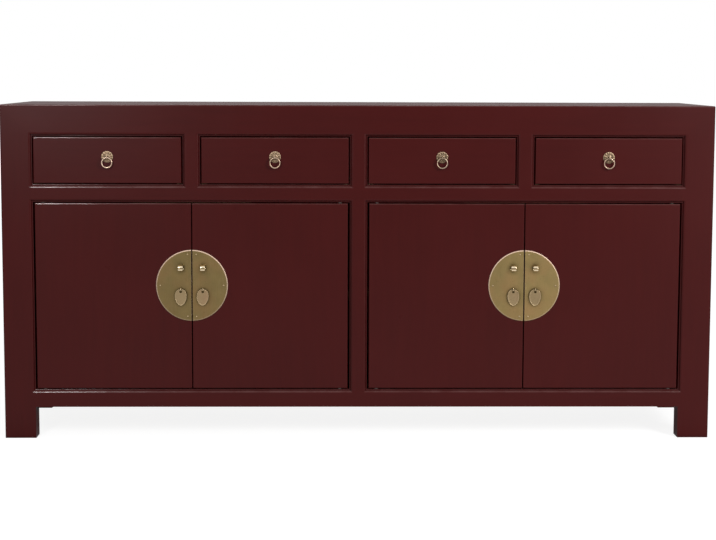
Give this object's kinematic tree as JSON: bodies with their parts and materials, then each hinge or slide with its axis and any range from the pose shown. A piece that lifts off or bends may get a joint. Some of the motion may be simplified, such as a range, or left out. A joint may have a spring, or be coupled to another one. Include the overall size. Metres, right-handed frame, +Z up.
{
  "type": "chinese wedding cabinet",
  "caption": "Long low lacquered cabinet: a row of drawers with brass ring pulls above pairs of doors that share split round brass plates with lock eyes and drop pulls.",
  "frame": {"origin": "on the floor, under the middle of the whole cabinet with its fittings", "axes": "+X to the right along the front, +Y from the front to the back, +Z up"},
  "size_m": [1.8, 0.4168, 0.85],
  "materials": {
    "lacquer": "dark oxblood satin lacquer over hardwood",
    "inner_wood": "plain sawn and planed softwood",
    "brass": "brushed satin brass",
    "pin_steel": "turned steel"
  },
  "bodies": {
    "cabinet": {"front_post_left": "lacquer", "front_post_right": "lacquer", "back_post_left": "lacquer", "back_post_right": "lacquer", "top_front_rail": "lacquer", "top_panel": "lacquer", "middle_rail": "lacquer", "bottom_rail": "lacquer", "front_stiles": "lacquer", "side_rails": "lacquer", "side_panel_left": "lacquer", "side_panel_right": "lacquer", "back_frame": "lacquer", "back_panels": "inner_wood", "floor_board": "inner_wood", "centre_partition": "inner_wood", "shelves": "inner_wood", "inner_battens": "inner_wood", "drawer_runners": "inner_wood", "door_pivot_pins": "pin_steel"},
    "door_1": {"door_1_leaf": "lacquer", "door_1_face_plate": "brass", "door_1_plate_nails": "brass", "door_1_split_pins": "brass"},
    "door_1_pull": {"door_1_pull": "brass"},
    "door_2": {"door_2_leaf": "lacquer", "door_2_face_plate": "brass", "door_2_plate_nails": "brass", "door_2_split_pins": "brass"},
    "door_2_pull": {"door_2_pull": "brass"},
    "door_3": {"door_3_leaf": "lacquer", "door_3_face_plate": "brass", "door_3_plate_nails": "brass", "door_3_split_pins": "brass"},
    "door_3_pull": {"door_3_pull": "brass"},
    "door_4": {"door_4_leaf": "lacquer", "door_4_face_plate": "brass", "door_4_plate_nails": "brass", "door_4_split_pins": "brass"},
    "door_4_pull": {"door_4_pull": "brass"},
    "drawer_1": {"drawer_1_front": "lacquer", "drawer_1_box": "inner_wood", "drawer_1_rosette": "brass", "drawer_1_ring_pin": "brass"},
    "drawer_1_ring": {"drawer_1_ring": "brass"},
    "drawer_2": {"drawer_2_front": "lacquer", "drawer_2_box": "inner_wood", "drawer_2_rosette": "brass", "drawer_2_ring_pin": "brass"},
    "drawer_2_ring": {"drawer_2_ring": "brass"},
    "drawer_3": {"drawer_3_front": "lacquer", "drawer_3_box": "inner_wood", "drawer_3_rosette": "brass", "drawer_3_ring_pin": "brass"},
    "drawer_3_ring": {"drawer_3_ring": "brass"},
    "drawer_4": {"drawer_4_front": "lacquer", "drawer_4_box": "inner_wood", "drawer_4_rosette": "brass", "drawer_4_ring_pin": "brass"},
    "drawer_4_ring": {"drawer_4_ring": "brass"}
  },
  "joints": [
    {"name": "door_1_hinge", "type": "hinge", "parent": "cabinet", "child": "door_1", "pos_m": [-0.79675, -0.1796, 0.365], "axis": [0, 0, -1], "range_deg": [0, 110]},
    {"name": "door_1_pull_swing", "type": "hinge", "parent": "door_1", "child": "door_1_pull", "pos_m": [-0.44975, -0.1962, 0.3835], "axis": [-1, 0, 0], "range_deg": [-4, 120]},
    {"name": "door_2_hinge", "type": "hinge", "parent": "cabinet", "child": "door_2", "pos_m": [-0.04675, -0.1796, 0.365], "axis": [0, 0, 1], "range_deg": [0, 85]},
    {"name": "door_2_pull_swing", "type": "hinge", "parent": "door_2", "child": "door_2_pull", "pos_m": [-0.39375, -0.1962, 0.3835], "axis": [-1, 0, 0], "range_deg": [-4, 120]},
    {"name": "door_3_hinge", "type": "hinge", "parent": "cabinet", "child": "door_3", "pos_m": [0.04675, -0.1796, 0.365], "axis": [0, 0, -1], "range_deg": [0, 85]},
    {"name": "door_3_pull_swing", "type": "hinge", "parent": "door_3", "child": "door_3_pull", "pos_m": [0.39375, -0.1962, 0.3835], "axis": [-1, 0, 0], "range_deg": [-4, 120]},
    {"name": "door_4_hinge", "type": "hinge", "parent": "cabinet", "child": "door_4", "pos_m": [0.79675, -0.1796, 0.365], "axis": [0, 0, 1], "range_deg": [0, 110]},
    {"name": "door_4_pull_swing", "type": "hinge", "parent": "door_4", "child": "door_4_pull", "pos_m": [0.44975, -0.1962, 0.3835], "axis": [-1, 0, 0], "range_deg": [-4, 120]},
    {"name": "drawer_1_slide", "type": "slide", "parent": "cabinet", "child": "drawer_1", "axis": [0, -1, 0], "range_m": [0, 0.26]},
    {"name": "drawer_1_ring_swing", "type": "hinge", "parent": "drawer_1", "child": "drawer_1_ring", "pos_m": [-0.63262, -0.1978, 0.718], "axis": [-1, 0, 0], "range_deg": [-12, 120]},
    {"name": "drawer_2_slide", "type": "slide", "parent": "cabinet", "child": "drawer_2", "axis": [0, -1, 0], "range_m": [0, 0.26]},
    {"name": "drawer_2_ring_swing", "type": "hinge", "parent": "drawer_2", "child": "drawer_2_ring", "pos_m": [-0.21088, -0.1978, 0.718], "axis": [-1, 0, 0], "range_deg": [-12, 120]},
    {"name": "drawer_3_slide", "type": "slide", "parent": "cabinet", "child": "drawer_3", "axis": [0, -1, 0], "range_m": [0, 0.26]},
    {"name": "drawer_3_ring_swing", "type": "hinge", "parent": "drawer_3", "child": "drawer_3_ring", "pos_m": [0.21088, -0.1978, 0.718], "axis": [-1, 0, 0], "range_deg": [-12, 120]},
    {"name": "drawer_4_slide", "type": "slide", "parent": "cabinet", "child": "drawer_4", "axis": [0, -1, 0], "range_m": [0, 0.26]},
    {"name": "drawer_4_ring_swing", "type": "hinge", "parent": "drawer_4", "child": "drawer_4_ring", "pos_m": [0.63262, -0.1978, 0.718], "axis": [-1, 0, 0], "range_deg": [-12, 120]}
  ]
}
